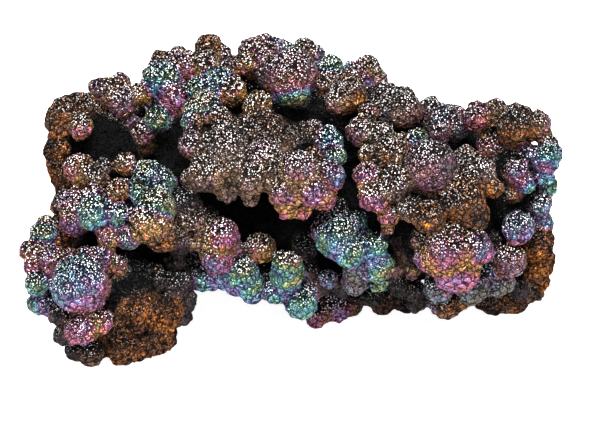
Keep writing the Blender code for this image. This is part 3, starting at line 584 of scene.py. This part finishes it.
def smoothedPoints(piece, rounds, what="co"):
    # Where the piece's points go, or their normals, when each moves halfway to the middle of its
    # neighbours, rounds times.
    smooth = piece.modifiers.new("smooth", "SMOOTH")
    smooth.factor = 0.5
    smooth.iterations = rounds
    graph = bpy.context.evaluated_depsgraph_get()
    graph.update()
    shaped = piece.evaluated_get(graph)
    values = readPoints(shaped.data, what)
    piece.modifiers.remove(smooth)
    return values


def movePoints(mesh, points):
    points[:, 2] = np.maximum(points[:, 2], 0)  # the feet are worn flat
    mesh.vertices.foreach_set("co", points.ravel())
    mesh.update()


def addAttribute(mesh, name, values):
    mesh.attributes.new(name, "FLOAT", "POINT").data.foreach_set("value", values.astype(np.float32))


def makeLobe(name, growth, lobeNames, finishNames, knobs, owners, material):
    # One lobe of the growth: its cores, lumps and knobs fused into one closed skin, scaled and
    # broken where its finish is, then thinned to its share of faces.
    mine = np.nonzero(lobeNames == name)[0]
    solid = growth[mine].copy()
    lumps = mine < len(growth) - len(rockInside)
    solid[lumps, 3:] *= skin["lumpShare"]
    large, small = ballsOf(solid, *skin["lumpGrid"]), ballsOf(knobs[np.isin(owners, mine)], *skin["knobGrid"])
    points = np.concatenate((large[0], small[0])) * mm
    triangles = np.concatenate((large[1], small[1] + len(large[0])))
    piece = bpy.data.objects.new(name + "_lobe", meshOf(name + "_lobe", points, triangles))
    bpy.context.scene.collection.objects.link(piece)
    fuse = piece.modifiers.new("fuse", "REMESH")
    fuse.mode = "VOXEL"
    fuse.voxel_size = skin["voxel"] * mm
    finished(piece)

    points = readPoints(piece.data)
    found = traitsAt(points / mm, growth, finishNames)
    broken = np.clip(skin["wearGain"] * found["crag"] - skin["wearFrom"], 0, 1)[:, None]
    worn = smoothedPoints(piece, skin["wearRounds"])
    movePoints(piece.data, points + (worn - points) * broken)
    points, normals = readPoints(piece.data), readPoints(piece.data, "normal")
    swell = (cloud(points / mm, skin["swellSize"], skin["swellSalt"]) - 0.5) * skin["swellDepth"]
    grain = (scales(points / mm, skin["grainSize"], skin["grainSalt"]) - 0.5) * skin["grainDepth"]
    crag = ridges(points / mm, skin["cragSize"], skin["cragSalt"], skin["cragOctaves"])
    crag = (crag - skin["cragMean"]) * skin["cragDepth"] * found["crag"]
    movePoints(piece.data, points + normals * ((found["fillet"] + swell + grain + crag) * mm)[:, None])

    fusedFaces = 2 * len(piece.data.polygons)
    if fusedFaces > skin["faces"]:
        thin = piece.modifiers.new("thin", "DECIMATE")
        thin.ratio = skin["faces"] / fusedFaces
        thin.use_collapse_triangulate = True
        finished(piece)
    points = readPoints(piece.data)
    found = traitsAt(points / mm, growth, finishNames)
    outward = readPoints(piece.data, "normal")
    # The crease attribute, how deep a point lies in a narrow crease or a wide hollow, is painted into the
    # colour as shade.
    found["crease"] = np.zeros(len(points))
    for reach in ("crease", "hollow"):  # how far smoothing would lift the point
        lift = ((smoothedPoints(piece, skin[reach + "Rounds"]) - points) * outward).sum(axis=1)
        found["crease"] = np.maximum(found["crease"], np.clip(lift / (skin[reach + "Depth"] * mm), 0, 1))
    facing = smoothedPoints(piece, skin["hollowRounds"], "normal")
    level, up, right = skin["upper"]
    found["upper"] = np.clip(level + up * facing[:, 2] + right * facing[:, 0], 0, 1)
    for trait in shownTraits:
        addAttribute(piece.data, trait, found[trait])
    piece.data.materials.clear()
    piece.data.materials.append(material)
    piece.data.shade_smooth()
    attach(piece, "root")
    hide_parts("limonite_specimen")
    print(f"{name} lobe: {fusedFaces} faces fused, {len(piece.data.polygons)} kept")


# Looks of the ore. Colours are linear, and a noise is given as its scale per metre and its detail.
ore = {
    "bare": ((0.060, 0.040, 0.034), (0.240, 0.170, 0.140)),  # dark and light of the untarnished ore
    # near black: the dark matrix's own colour, and also the painted shade of the gaps and creases
    "matrix": (0.003, 0.003, 0.003),
    # white of the painted glints, dots that stand in for highlights
    "paintedGlint": (0.95, 0.97, 0.98),
    # Interference colours, in the order in which a growing film shows them.
    "film": (
        (0.00, (0.36, 0.15, 0.05)),
        (0.10, (0.50, 0.30, 0.07)),
        (0.20, (0.46, 0.12, 0.07)),
        (0.34, (0.46, 0.12, 0.27)),
        (0.46, (0.25, 0.15, 0.42)),
        (0.57, (0.11, 0.26, 0.48)),
        (0.68, (0.11, 0.37, 0.36)),
        (0.79, (0.18, 0.38, 0.20)),
        (0.90, (0.38, 0.34, 0.11)),
        (1.00, (0.44, 0.16, 0.22)),
    ),
    "drift": (210.0, 2.0),
    "patch": (700.0, 2.0),
    "speckle": (1500.0, 3.0),
    "swarm": (330.0, 1.0),
    # How far these move the film's place: a lump's rim, and the spread of drift, patches and crystals.
    "shift": {"rim": -0.25, "drift": 0.55, "patch": 0.35, "crystal": 0.14},
    "thinning": -1.1,  # how far the drift takes the film away
    "fleck": {"rust": 1.6, "earth": 1.2},  # how broken the edges of rust and of earth are
    "edge": (0.35, 0.65),  # shares between which they set in
    "shade": (0.50, 1.2),  # of the darkest crystal, and how much more of the lightest
    "skyShade": (1.5, -0.75),  # painted light and shade: lightness of what faces down, and how much less of what faces up
    "paintedGapShade": (0.4, 0.6),  # painted shade in the gaps between crystals: its black where they face down, and how much more where they face up
    "lineBlack": 0.95,
    # painted shade: how fast the creases and hollows turn black
    "paintedCreaseShade": 1.5,
    "darkBlack": (1.6, 0.8),  # of dark matrix, and how much its crystals differ
    # Painted highlights, white glints painted into the colour: where they set in with the light from above,
    # and how many there are outside it, the same for swarms, and what each trait takes away.
    "skyGlints": (0.38, 0.98, 0.05),
    "swarmGlints": (0.40, 0.54, 0.45),
    "glintLoss": {"earth": -0.85, "hollow": -1.0, "rust": -0.35, "dark": -1.0, "plain": -0.9},
    "shine": {"sunk": -0.95, "dark": -0.7},  # what these take from it
    "metallic": (0.9, -0.6),  # of ore, and what rust takes away
    "roughness": (0.75, -0.45),  # of dull ore, and what shine takes away
    "coat": (0.4, -0.25),  # of bare ore, and what tarnish takes away
    "coatRoughness": 0.12,
    "coatIor": 1.8,
    "specular": 0.3,
}


def newGroup(name, inputs, outputs):
    # A node group, from the names and kinds of its sockets.
    tree = bpy.data.node_groups.new(name, "ShaderNodeTree")
    for label, kind in inputs.items():
        tree.interface.new_socket(label, in_out="INPUT", socket_type="NodeSocket" + kind)
    for label, kind in outputs.items():
        tree.interface.new_socket(label, in_out="OUTPUT", socket_type="NodeSocket" + kind)
    return tree, tree.nodes.new("NodeGroupInput").outputs, tree.nodes.new("NodeGroupOutput").inputs


def addNode(tree, kind, links=(), **settings):
    # A node with its settings, and what feeds its sockets: other sockets or plain values.
    node = tree.nodes.new(kind)
    for name, value in settings.items():
        setattr(node, name, value)
    for socket, source in dict(links).items():
        if isinstance(source, bpy.types.NodeSocket):
            tree.links.new(source, node.inputs[socket])
        else:
            node.inputs[socket].default_value = source
    return node


def mathNode(tree, operation, a, b=0.0, c=0.0, clamp=False):
    links = {0: a, 1: b, 2: c}
    return addNode(tree, "ShaderNodeMath", links, operation=operation, use_clamp=clamp).outputs[0]


def vectorNode(tree, operation, a, b=(0.0,) * 3, c=(0.0,) * 3):
    return addNode(tree, "ShaderNodeVectorMath", {0: a, 1: b, 2: c}, operation=operation).outputs[0]


def scaledBy(tree, vector, scale):
    return addNode(tree, "ShaderNodeVectorMath", {0: vector, "Scale": scale}, operation="SCALE").outputs[0]


def rangeNode(tree, source, start, end, least=0.0, **settings):
    # From least, where the source is at start, to 1 at end.
    return addNode(tree, "ShaderNodeMapRange", {0: source, 1: start, 2: end, 3: least}, **settings).outputs[0]


def noise(tree, where, scale, detail, roughness=0.5, output="Fac"):
    links = {"Vector": where, "Scale": scale, "Detail": detail, "Roughness": roughness}
    return addNode(tree, "ShaderNodeTexNoise", links).outputs[output]


def bentPlace(tree, where, scale, detail, reach):
    # The place, moved by a noise times the reach, which makes the edges of cells wavy.
    moves = noise(tree, where, scale, detail, output="Color")
    return vectorNode(tree, "MULTIPLY_ADD", moves, (reach,) * 3, where)


def bumpNode(tree, height, strength, distance, normal=None):
    links = {"Height": height, "Strength": strength, "Distance": distance}
    if normal:
        links["Normal"] = normal
    return addNode(tree, "ShaderNodeBump", links).outputs[0]


def mixColours(tree, share, a, b):
    # Sockets 6 and 7 of a colour mix are its two colours, and output 2 is the result.
    return addNode(tree, "ShaderNodeMix", {0: share, 6: a, 7: b}, data_type="RGBA").outputs[2]


def rampOf(tree, share, stops):
    ramp = addNode(tree, "ShaderNodeValToRGB", {0: share})
    elements = ramp.color_ramp.elements
    while len(elements) < len(stops):
        elements.new(0.5)
    for element, (place, colour) in zip(elements, stops):
        element.position = place
        element.color = (*colour, 1)
    return ramp.outputs["Color"]


crystals = {
    "size": 0.345,
    "tilt": 0.10,
    "bend": (900.0, 1.0, 0.0004),  # scale, detail and reach in metres
    "gap": (0.36, 0.50),  # distances from a crystal's middle, in cells, between which it turns to gap, painted black as shade
    "paintedGlint": (0.33, 0.23),  # and between which it turns to a painted white glint
    "glintless": 0.18,  # share of the crystals that have none
    "height": 0.00032,
}


def druseGroup():
    # Druse: tiny crystals, one to a cell, each rounded and tilted its own way so that it glints by itself.
    # Their relief falls as the square of the distance from a crystal's middle. Puts out the normal with it,
    # the gaps between crystals, which are painted black as shade, the white glints painted on most crystals
    # as highlights, and a random share for each.
    tree, given, out = newGroup(
        "druse",
        {"Position": "Vector", "Normal": "Vector", "Size mm": "Float", "Tilt": "Float"},
        {"Normal": "Vector", "GapShade": "Float", "Glint": "Float", "Share": "Float"},
    )
    cells = mathNode(tree, "DIVIDE", 1 / mm, given["Size mm"])
    bent = bentPlace(tree, given["Position"], *crystals["bend"])
    found = addNode(tree, "ShaderNodeTexVoronoi", {"Vector": bent, "Scale": cells}).outputs
    distance, chosen = found["Distance"], found["Color"]
    tree.links.new(rangeNode(tree, distance, *crystals["gap"]), out["GapShade"])
    shares = addNode(tree, "ShaderNodeSeparateColor", {0: chosen}).outputs
    tree.links.new(shares[2], out["Share"])
    glinting = mathNode(tree, "GREATER_THAN", shares[0], crystals["glintless"])
    paintedGlint = rangeNode(tree, distance, *crystals["paintedGlint"])
    tree.links.new(mathNode(tree, "MULTIPLY", paintedGlint, glinting), out["Glint"])
    relief = mathNode(tree, "SUBTRACT", 1.0, mathNode(tree, "MULTIPLY", distance, distance))
    capped = bumpNode(tree, relief, 1.0, crystals["height"], given["Normal"])
    turn = scaledBy(tree, vectorNode(tree, "MULTIPLY_ADD", chosen, (2.0,) * 3, (-1.0,) * 3), given["Tilt"])
    turned = vectorNode(tree, "NORMALIZE", vectorNode(tree, "ADD", turn, capped))
    tree.links.new(turned, out["Normal"])
    return tree


plates = {
    "size": 1.15,
    "bend": (700.0, 2.0, 0.0014),
    "rounding": 0.32,  # distance from a plate's edge over which it is rounded, in cells
    "line": (0.15, 0.05),  # distances from its edge between which it turns to line
    "bump": (0.8, 0.00035),
}


def platesGroup():
    # Wavy plates: warped cells, rounded towards the thin dark lines between them.
    tree, given, out = newGroup(
        "plates", {"Position": "Vector", "Size mm": "Float"}, {"Relief": "Float", "Line": "Float"}
    )
    scale = mathNode(tree, "DIVIDE", 1 / mm, given["Size mm"])
    cells = {"Vector": bentPlace(tree, given["Position"], *plates["bend"]), "Scale": scale}
    edge = addNode(tree, "ShaderNodeTexVoronoi", cells, feature="DISTANCE_TO_EDGE").outputs["Distance"]
    relief = rangeNode(tree, edge, 0.0, plates["rounding"], interpolation_type="SMOOTHSTEP")
    tree.links.new(relief, out["Relief"])
    tree.links.new(rangeNode(tree, edge, *plates["line"]), out["Line"])
    return tree


def filmGroup():
    # Interference colour of a film, from its place in the run of colours.
    tree, given, out = newGroup("filmColour", {"Place": "Float"}, {"Colour": "Color"})
    tree.links.new(rampOf(tree, given["Place"], ore["film"]), out["Colour"])
    return tree


rust = {
    "colours": (
        (0.22, (0.016, 0.010, 0.008)),
        (0.38, (0.110, 0.052, 0.031)),
        (0.54, (0.215, 0.082, 0.032)),
        (0.68, (0.440, 0.140, 0.026)),
        (0.86, (0.560, 0.260, 0.055)),
    ),
    "patches": (230.0, 2.0),
    "flecks": (1100.0, 3.0, 0.6),  # scale, detail and roughness
    "fleckSpread": 1.15,
    "bump": (0.9, 0.0009),
}


def rustGroup():
    # Dull iron rust, from near black to ochre: soft patches, with flecks of the darks and lights in each.
    tree, given, out = newGroup("rustColour", {"Position": "Vector"}, {"Colour": "Color", "Relief": "Float"})
    patches = noise(tree, given["Position"], *rust["patches"])
    flecks = noise(tree, given["Position"], *rust["flecks"])
    centred = mathNode(tree, "SUBTRACT", flecks, 0.5)
    place = mathNode(tree, "MULTIPLY_ADD", centred, rust["fleckSpread"], patches)
    tree.links.new(rampOf(tree, place, rust["colours"]), out["Colour"])
    tree.links.new(flecks, out["Relief"])
    return tree


def oreMaterial():
    material = bpy.data.materials.new("tarnishedOre")
    material.use_nodes = True
    tree = material.node_tree
    shader = tree.nodes["Principled BSDF"].inputs
    position = addNode(tree, "ShaderNodeTexCoord").outputs["Object"]
    trait = {
        name: addNode(tree, "ShaderNodeAttribute", attribute_name=name).outputs["Fac"] for name in shownTraits
    }

    def placedGroup(group, links):
        return addNode(tree, "ShaderNodeGroup", links, node_tree=group).outputs

    def times(a, b, clamp=False):
        return mathNode(tree, "MULTIPLY", a, b, clamp=clamp)

    def sloped(source, start, by):
        # start + by * source
        return mathNode(tree, "MULTIPLY_ADD", source, by, start)

    def spread(source, by, around, clamp=False):
        # A share from 0 to 1, centred and widened about another value.
        return mathNode(tree, "MULTIPLY_ADD", mathNode(tree, "SUBTRACT", source, 0.5), by, around, clamp)

    plate = placedGroup(platesGroup(), {"Position": position, "Size mm": plates["size"]})
    rusted = placedGroup(rustGroup(), {"Position": position})
    drift, patch, speckle, swarm = (
        noise(tree, position, *ore[kind]) for kind in ("drift", "patch", "speckle", "swarm")
    )
    rustShare = rangeNode(tree, spread(speckle, ore["fleck"]["rust"], trait["rust"]), *ore["edge"])
    earth = rangeNode(tree, spread(speckle, ore["fleck"]["earth"], trait["earth"]), *ore["edge"])
    # Painted shade: creases and hollows turn black by how deep they lie.
    hollow = times(trait["crease"], ore["paintedCreaseShade"], clamp=True)

    plated = bumpNode(tree, plate["Relief"], *plates["bump"])
    crust = bumpNode(tree, times(rusted["Relief"], earth), *rust["bump"], plated)
    own = {"Position": position, "Normal": crust, "Size mm": crystals["size"], "Tilt": crystals["tilt"]}
    druse = placedGroup(druseGroup(), own)

    # The film's place: the lump's own, less on its rim, varied by patches and crystals.
    shift = ore["shift"]
    place = mathNode(tree, "MULTIPLY_ADD", trait["rim"], shift["rim"], trait["film"])
    place = spread(patch, shift["patch"], spread(drift, shift["drift"], place))
    place = spread(druse["Share"], shift["crystal"], place)
    film = placedGroup(filmGroup(), {"Place": place})["Colour"]

    # Rust spreads from its areas in flecks, and the film thins to bare ore in patches.
    filmShare = spread(drift, ore["thinning"], trait["tarnish"], clamp=True)
    dull, bright = ((*colour, 1) for colour in ore["bare"])
    colour = mixColours(tree, filmShare, mixColours(tree, speckle, dull, bright), film)
    colour = mixColours(tree, rustShare, colour, rusted["Colour"])
    shade = sloped(times(druse["Share"], druse["Share"]), *ore["shade"])
    # Painted light and shade: the colour is lightened where the skin faces down and darkened where it faces
    # up, on top of each crystal's own tone.
    colour = scaledBy(tree, colour, times(shade, sloped(trait["upper"], *ore["skyShade"])))

    # Painted shade: black in the gaps between crystals, more where they face up, and in the creases and
    # hollows. Black too in the thin lines between plates and over the dark matrix.
    sunk = times(druse["GapShade"], sloped(trait["upper"], *ore["paintedGapShade"]))
    for mask in (times(plate["Line"], ore["lineBlack"]), hollow):
        sunk = mathNode(tree, "MAXIMUM", sunk, mask, clamp=True)
    most, varied = ore["darkBlack"]
    black = times(trait["dark"], spread(druse["Share"], varied, most))
    black = mathNode(tree, "MAXIMUM", black, sunk, clamp=True)
    colour = mixColours(tree, black, colour, (*ore["matrix"], 1))

    # Painted highlights: white glints painted into the colour in swarms, most of them where the skin faces up
    # to the lamps.
    glint = times(druse["Glint"], rangeNode(tree, swarm, *ore["swarmGlints"]))
    glint = times(glint, rangeNode(tree, trait["upper"], *ore["skyGlints"]))
    plain = times(mathNode(tree, "SUBTRACT", 1.0, filmShare), mathNode(tree, "SUBTRACT", 1.0, trait["upper"]))
    masks = {"earth": earth, "hollow": hollow, "rust": rustShare, "dark": trait["dark"], "plain": plain}
    for name, mask in masks.items():
        glint = times(glint, sloped(mask, 1.0, ore["glintLoss"][name]))
    colour = mixColours(tree, glint, colour, (*ore["paintedGlint"], 1))

    # Shine, from 0 on earth and in the gaps to 1 on clean crystals.
    shine = times(mathNode(tree, "SUBTRACT", 1.0, earth), sloped(sunk, 1.0, ore["shine"]["sunk"]))
    shine = times(shine, sloped(trait["dark"], 1.0, ore["shine"]["dark"]))
    metal = times(sloped(rustShare, *ore["metallic"]), mathNode(tree, "SUBTRACT", 1.0, glint))
    feeds = {
        "Base Color": colour,
        "Normal": druse["Normal"],
        "Metallic": times(shine, metal),
        "Roughness": sloped(shine, *ore["roughness"]),
        "Specular IOR Level": times(shine, ore["specular"]),
        "Coat Weight": times(shine, sloped(filmShare, *ore["coat"])),
        "Coat Normal": druse["Normal"],
    }
    for name, source in feeds.items():
        tree.links.new(source, shader[name])
    shader["Coat Roughness"].default_value = ore["coatRoughness"]
    shader["Coat IOR"].default_value = ore["coatIor"]
    return material


# The floor glows a little to the camera, so that it stays pale in the specimen's shadow.
floor = {"sizeInMetres": 4.0, "below": 0.02, "colour": (0.50, 0.50, 0.50), "roughness": 0.9, "glow": 0.90}


def makeFloor():
    # A level square: x and y run over the grid, and z is just below the feet.
    side = np.linspace(-0.5, 0.5, 2) * floor["sizeInMetres"]
    x, y = np.meshgrid(side, side)
    points = np.stack((x.ravel(), y.ravel(), np.full(x.size, -floor["below"] * mm)), axis=1)
    piece = bpy.data.objects.new("floor", meshOf("floor", points, np.array(((0, 1, 3), (0, 3, 2)))))
    bpy.context.scene.collection.objects.link(piece)
    material = bpy.data.materials.new("paleFloor")
    material.use_nodes = True
    tree = material.node_tree
    shader = tree.nodes["Principled BSDF"].inputs
    shader["Base Color"].default_value = (*floor["colour"], 1)
    shader["Roughness"].default_value = floor["roughness"]
    shader["Specular IOR Level"].default_value = 0.0
    shader["Emission Color"].default_value = (1, 1, 1, 1)
    seen = addNode(tree, "ShaderNodeLightPath").outputs["Is Camera Ray"]
    tree.links.new(mathNode(tree, "MULTIPLY", seen, floor["glow"]), shader["Emission Strength"])
    piece.data.materials.append(material)


view = {
    "distance": 1.2,  # metres
    "imageWidth": 600,
    "pixelsPerMm": 6.0,
    "centre": (-5 / 6, -15 / 6),  # what the image's middle shows: across and up
    "sensor": 36.0,
    "clipEnd": 20,
}


def makeCamera(shift):
    # The specimen moved by shift, so the camera does too.
    sine, cosine = math.sin(reading["lookDown"]), math.cos(reading["lookDown"])
    ahead, above = Vector((0, cosine, -sine)), Vector((0, sine, cosine))
    anchor = Vector((float(shift[0]), float(shift[1]), reading["eyeLevel"])) * mm
    across, up = view["centre"]
    target = anchor + Vector((across * mm, 0, 0)) + above * up * mm
    camera = bpy.data.objects.new("camera", bpy.data.cameras.new("camera"))
    camera.data.sensor_width = view["sensor"]
    camera.data.lens = view["sensor"] * view["distance"] / (view["imageWidth"] / view["pixelsPerMm"] * mm)
    camera.data.clip_end = view["clipEnd"]
    camera.location = target - ahead * view["distance"]
    camera.rotation_euler = ahead.to_track_quat("-Z", "Y").to_euler()
    bpy.context.scene.collection.objects.link(camera)
    bpy.context.scene.camera = camera


# Lights as name: place and size in metres, watts and colour. All look at the specimen.
lights = {
    "soft": {"at": (0.0, -0.10, 0.75), "size": (0.62, 0.44), "watts": 13.0, "colour": (1.0, 0.99, 0.97)},
    "overhead": {"at": (0.03, -0.15, 0.75), "size": (0.14, 0.10), "watts": 12.5, "colour": (1.0, 0.99, 0.97)},
    "spark": {"at": (-0.25, -0.40, 0.65), "size": (0.07, 0.07), "watts": 4.0, "colour": (1.0, 0.99, 0.96)},
    "left": {"at": (-0.60, -0.30, 0.50), "size": (0.09, 0.09), "watts": 3.5, "colour": (1.0, 0.98, 0.95)},
    "right": {"at": (0.55, -0.35, 0.55), "size": (0.09, 0.09), "watts": 3.5, "colour": (0.96, 0.98, 1.0)},
    "front": {"at": (0.05, -0.80, 0.40), "size": (0.30, 0.20), "watts": 3.0, "colour": (1.0, 1.0, 1.0)},
}
surround = {"seen": 0.95, "shed": 0.06}  # strength of the white world to the camera, and to everything else


def makeLights():
    for name, light in lights.items():
        lamp = bpy.data.objects.new(name, bpy.data.lights.new(name, "AREA"))
        lamp.data.shape = "RECTANGLE"
        lamp.data.size, lamp.data.size_y = light["size"]
        lamp.data.energy = light["watts"]
        lamp.data.color = light["colour"]
        lamp.location = light["at"]
        lamp.rotation_euler = (-Vector(light["at"])).to_track_quat("-Z", "Y").to_euler()
        bpy.context.scene.collection.objects.link(lamp)
    world = bpy.data.worlds.new("surround")
    world.use_nodes = True
    tree = world.node_tree
    backdrop = tree.nodes["Background"].inputs
    backdrop["Color"].default_value = (1, 1, 1, 1)
    seen = addNode(tree, "ShaderNodeLightPath").outputs["Is Camera Ray"]
    strength = mathNode(tree, "MULTIPLY_ADD", seen, surround["seen"] - surround["shed"], surround["shed"])
    tree.links.new(strength, backdrop["Strength"])
    bpy.context.scene.world = world
    bpy.context.scene.view_settings.view_transform = "Standard"


growth, lobeNames, finishNames, shift = gatherGrowth()
makeCamera(shift)
makeLights()
makeFloor()
print("stage set")
knobs, owners = knobsOn(growth, finishNames)
material = oreMaterial()
for lobe in ("left", "middle", "right", "crest", "rear"):
    makeLobe(lobe, growth, lobeNames, finishNames, knobs, owners, material)
